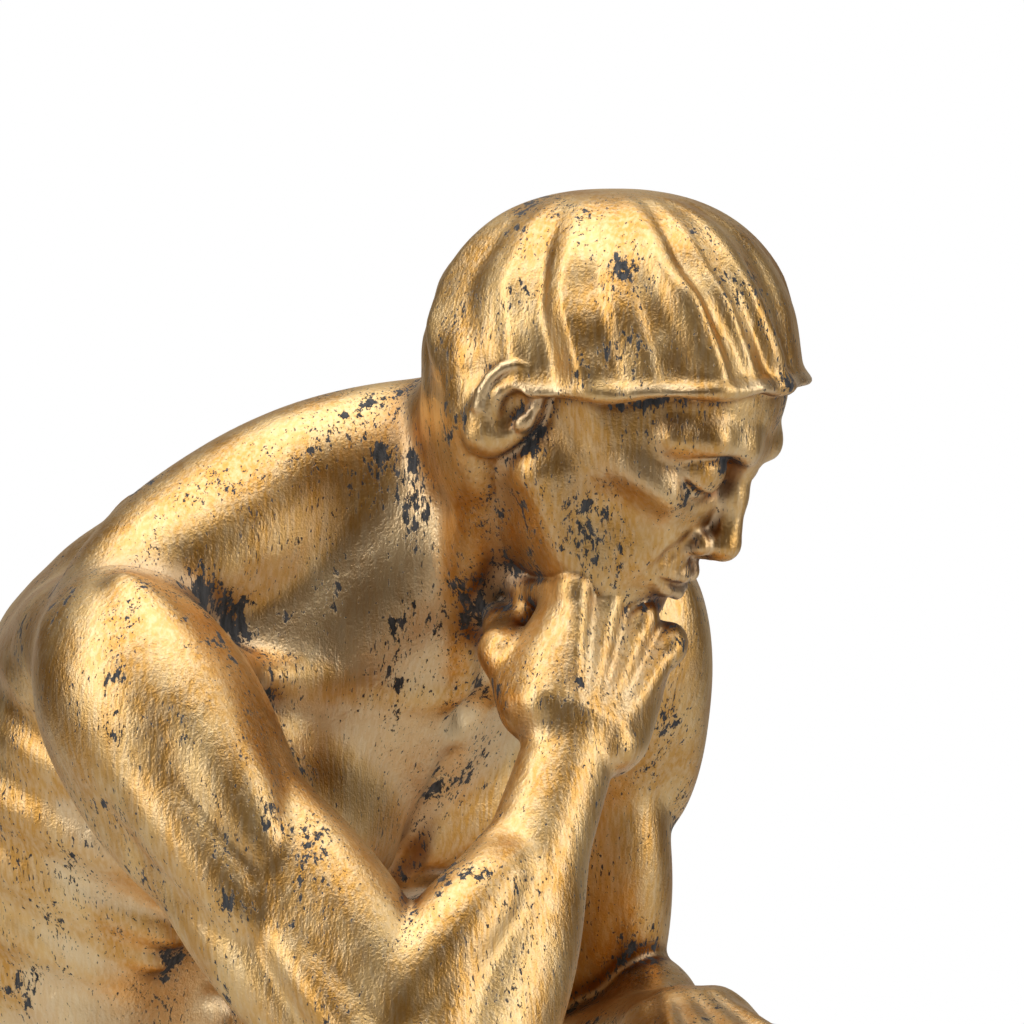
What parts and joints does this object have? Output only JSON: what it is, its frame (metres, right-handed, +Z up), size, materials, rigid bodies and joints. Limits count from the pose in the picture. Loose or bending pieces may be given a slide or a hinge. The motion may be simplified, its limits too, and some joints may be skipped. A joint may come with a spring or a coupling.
{
  "type": "seated pensive figure statuette",
  "caption": "Seated man in a hip cloth, chin on a loose fist with the elbow on the thigh, on a squared block and a stepped plinth; desk ornament with an antique gold finish.",
  "frame": {"origin": "middle of the underside of the felt pad", "axes": "+Z up, the figure faces -Y, its right side is at -X"},
  "size_m": [0.126, 0.156, 0.2239],
  "materials": {
    "gilt_resin": "cast resin with brushed antique gold metallic paint over a charcoal undercoat that shows in pits and recesses",
    "felt": "black self-adhesive felt",
    "steel": "plain steel dowel and studding",
    "brass": "turned brass"
  },
  "bodies": {
    "root": {"plinth": "gilt_resin", "seat_block": "gilt_resin", "hips_wrap": "gilt_resin", "torso": "gilt_resin", "right_leg": "gilt_resin", "left_leg": "gilt_resin", "head": "gilt_resin", "right_arm": "gilt_resin", "left_arm": "gilt_resin", "base_felt": "felt", "tie_rod": "steel", "tie_rod_washer": "steel", "tie_rod_nut": "steel", "hip_insert": "brass", "waist_pin": "steel", "neck_pin": "steel", "shoulder_pins": "steel", "thigh_pins": "steel", "foot_pins": "steel", "seat_pins": "steel"}
  },
  "joints": []
}
